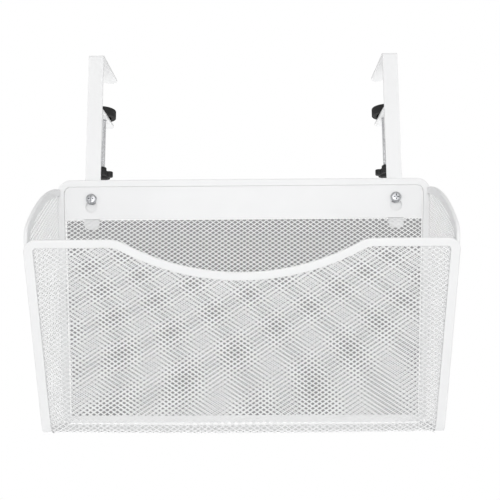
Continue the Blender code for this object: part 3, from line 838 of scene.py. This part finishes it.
def make_band_fixing(name, sign):
    x = sign * HANGER_X
    washer_low, washer_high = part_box("right_band_washer")
    nut_low, nut_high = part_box("right_band_nut")
    seat = Vector((x, BAND_LOW.y - GAP, SCREW_Z))
    tail = seat.y - nut_high.y - SHANK_PAST_NUT
    tall = seat.y - BAND_SCREW_LOW.y
    profile = [(0.0017, tail), (0.0022, tail + 0.0005)]
    profile += thread_profile(
        tail + 0.0006, -0.0006, SHANK_RADIUS, SHANK_PITCH, SHANK_THREAD_DEPTH
    )
    profile += [(SHANK_RADIUS, 0.0), (HEAD_RADIUS - 0.0003, 0.0)]
    profile += [(HEAD_RADIUS, 0.0003), (HEAD_RADIUS, tall * HEAD_WALL)]
    for k in (0.2, 0.4, 0.6, 0.75, 0.88, 0.96):
        rise = HEAD_WALL + (1 - HEAD_WALL) * math.sin(k * math.pi / 2)
        profile.append((HEAD_RADIUS * (1 - 0.62 * k**2.6), tall * rise))
    profile += [(HEAD_RADIUS * 0.30, tall)]
    mesh = turned(name + "_band_screw", profile, seat, count=64, along_y=True)
    head = add_piece(name + "_pan_head_screw", mesh, SCREW_ZINC, "rack", [name + "_band_screw"])
    cutters = []
    for wide, high in ((0.0010, 0.0050), (0.0050, 0.0010)):
        build = bmesh.new()
        rings = []
        for depth, share in ((-0.0006, 1.12), (0.0018, 0.62)):
            a, b = wide / 2 * share, high / 2 * share
            y = BAND_SCREW_LOW.y + depth
            ring = [(-a, -b), (a, -b), (a, b), (-a, b)]
            rings.append([Vector((x + p, y, SCREW_Z + q)) for p, q in ring])
        loft(build, rings, False)
        cutters.append(mesh_of("cross", build))
    cut(head, cutters)
    head.data.shade_smooth()
    head.data.set_sharp_from_angle(angle=math.radians(34))

    back = Vector((x, 0.0, SCREW_Z))
    near, far = washer_low.y, washer_high.y
    ring = [(BAND_WASHER_RADIUS, -near), (BAND_WASHER_RADIUS, -far + 0.0001)]
    ring += [(BAND_WASHER_RADIUS - 0.0001, -far), (BAND_BORE, -far), (BAND_BORE, -near)]
    mesh = turned(name + "_band_washer", ring, back, through=True, along_y=True)
    add_piece(name + "_flat_washer", mesh, ZINC, "rack", [name + "_band_washer"], smooth=40)
    near, far = nut_low.y, nut_high.y
    face, flank = chamfered(BAND_NUT_FLATS, 0.0041), chamfered(BAND_NUT_FLATS, 0.0046)
    nut = [
        (face, -near),
        (flank, -near - 0.0004),
        (flank, -far + 0.0004),
        (face, -far),
        (0.0031, -far),
        (BAND_BORE, -far + 0.0004),
        (BAND_BORE, -near),
    ]
    mesh = turned(name + "_band_nut", nut, back, through=True, count=72, along_y=True)
    add_piece(name + "_hex_nut", mesh, ZINC, "rack", [name + "_band_nut"], smooth=30)


make_pocket()
make_band_plate()
for side_name, side_sign in SIDES:
    make_hanger(side_name, side_sign)
    make_clamp(side_name, side_sign)
    make_band_fixing(side_name, side_sign)


# ---- Stage ------------------------------------------------------------------------------
def stage_sheet(name, corners, finish):
    mesh = bpy.data.meshes.new(name)
    mesh.from_pydata(corners, [], [tuple(range(len(corners)))])
    made = bpy.data.objects.new(name, mesh)
    mesh.materials.append(finish)
    bpy.context.scene.collection.objects.link(made)
    return made


def floor_finish():
    made = bpy.data.materials.new("pale_floor")
    made.use_nodes = True
    shader = made.node_tree.nodes["Principled BSDF"]
    shader.inputs["Base Color"].default_value = (0.86, 0.86, 0.86, 1)
    shader.inputs["Roughness"].default_value = 0.9
    return made


def painted_shade_finish():
    """Painted shade: a flat glowing grey from the front only, standing in for the shade seen through
    the mesh holes. From behind it is clear.
    """
    made = bpy.data.materials.new("painted_shade_card")
    made.use_nodes = True
    nodes, links = made.node_tree.nodes, made.node_tree.links
    nodes.clear()
    painted_shade_glow = nodes.new("ShaderNodeEmission")
    painted_shade_glow.inputs["Color"].default_value = (0.30, 0.302, 0.305, 1)
    clear = nodes.new("ShaderNodeBsdfTransparent")
    which = nodes.new("ShaderNodeNewGeometry")
    mix = nodes.new("ShaderNodeMixShader")
    out = nodes.new("ShaderNodeOutputMaterial")
    links.new(which.outputs["Backfacing"], mix.inputs["Fac"])
    links.new(painted_shade_glow.outputs["Emission"], mix.inputs[1])
    links.new(clear.outputs["BSDF"], mix.inputs[2])
    links.new(mix.outputs["Shader"], out.inputs["Surface"])
    return made


FLOOR_Z = -0.60
FLOOR_REACH = 3
FLOOR_BACK = 0.75
# The card is painted shade: a glowing grey sheet put close behind the back mesh, where the holes
# show shade.
CARD_Y = 0.0112
CARD_LOW = 0.006
CARD_HIGH = MESH_TOP + 0.002
CARD_INSET = 0.004
stage_sheet(
    "floor",
    [
        (-FLOOR_REACH, -FLOOR_REACH, FLOOR_Z),
        (FLOOR_REACH, -FLOOR_REACH, FLOOR_Z),
        (FLOOR_REACH, FLOOR_BACK, FLOOR_Z),
        (-FLOOR_REACH, FLOOR_BACK, FLOOR_Z),
    ],
    floor_finish(),
)
low_half = half_width(CARD_LOW) - CARD_INSET
high_half = half_width(CARD_HIGH) - CARD_INSET
# Painted shade: a glowing grey card behind the back mesh, seen through its holes.
stage_sheet(
    "painted_shade_card",
    [
        (-low_half, CARD_Y, BASE_Z + CARD_LOW),
        (low_half, CARD_Y, BASE_Z + CARD_LOW),
        (high_half, CARD_Y, BASE_Z + CARD_HIGH),
        (-high_half, CARD_Y, BASE_Z + CARD_HIGH),
    ],
    painted_shade_finish(),
)


def make_world():
    """Soft studio light, dimmer from the sides, in front of a white backdrop."""
    world = bpy.data.worlds.new("studio")
    bpy.context.scene.world = world
    world.use_nodes = True
    nodes, links = world.node_tree.nodes, world.node_tree.links
    back = nodes["Background"]
    place = nodes.new("ShaderNodeTexCoord")
    parts = nodes.new("ShaderNodeSeparateXYZ")
    links.new(place.outputs["Generated"], parts.inputs["Vector"])
    side = nodes.new("ShaderNodeMath")
    side.operation = "ABSOLUTE"
    links.new(parts.outputs["X"], side.inputs[0])
    ramp = nodes.new("ShaderNodeValToRGB")
    stops = ramp.color_ramp
    stops.elements[0].position = 0.62
    stops.elements[0].color = (0.60, 0.60, 0.60, 1)
    stops.elements[1].position = 0.97
    stops.elements[1].color = (0.44, 0.44, 0.443, 1)
    links.new(side.outputs["Value"], ramp.inputs["Fac"])
    links.new(ramp.outputs["Color"], back.inputs["Color"])
    backdrop = nodes.new("ShaderNodeBackground")
    seen = nodes.new("ShaderNodeLightPath")
    mix = nodes.new("ShaderNodeMixShader")
    links.new(seen.outputs["Is Camera Ray"], mix.inputs["Fac"])
    links.new(back.outputs["Background"], mix.inputs[1])
    backdrop.inputs["Color"].default_value = (1, 1, 1, 1)
    links.new(backdrop.outputs["Background"], mix.inputs[2])
    links.new(mix.outputs["Shader"], nodes["World Output"].inputs["Surface"])


def area_light(name, place, target, size, watts):
    light = bpy.data.lights.new(name, "AREA")
    light.shape = "RECTANGLE"
    light.size, light.size_y = size
    light.energy = watts
    made = bpy.data.objects.new(name, light)
    made.location = place
    made.rotation_euler = (Vector(target) - Vector(place)).to_track_quat("-Z", "Y").to_euler()
    bpy.context.scene.collection.objects.link(made)


POCKET_MIDDLE = (0, 0, -0.2)
make_world()
area_light("front", (0.0, -1.7, -0.05), POCKET_MIDDLE, (0.9, 0.9), 8.9)
for lamp_side, lamp_sign in SIDES:
    area_light(lamp_side, (1.5 * lamp_sign, -0.87, -0.10), POCKET_MIDDLE, (0.8, 0.8), 2.5)
area_light("below", (0.0, 0.22, -0.55), (0, 0.1, 0), (1.0, 0.4), 2.45)

# ---- Camera -----------------------------------------------------------------------------
PITCH = 0.1375
YAW = 0.0085
ROLL = -0.0053
CAMERA_PLACE = (0.01071, -0.58453, -0.26478)
FOCAL_LENGTH = 47.13
camera_data = bpy.data.cameras.new("camera")
camera_data.sensor_width = 36.0
camera_data.lens = FOCAL_LENGTH
camera_data.clip_start = 0.01
camera = bpy.data.objects.new("camera", camera_data)
ahead = Vector((-math.sin(YAW) * math.cos(PITCH), math.cos(YAW) * math.cos(PITCH), math.sin(PITCH)))
level = Vector((math.cos(YAW), math.sin(YAW), 0.0))
above = level.cross(ahead)
right = math.cos(ROLL) * level + math.sin(ROLL) * above
upward = -math.sin(ROLL) * level + math.cos(ROLL) * above
turn = Matrix((right, upward, -ahead)).transposed().to_4x4()
camera.matrix_world = Matrix.Translation(CAMERA_PLACE) @ turn
bpy.context.scene.collection.objects.link(camera)
bpy.context.scene.camera = camera
bpy.context.scene.view_settings.view_transform = "Standard"
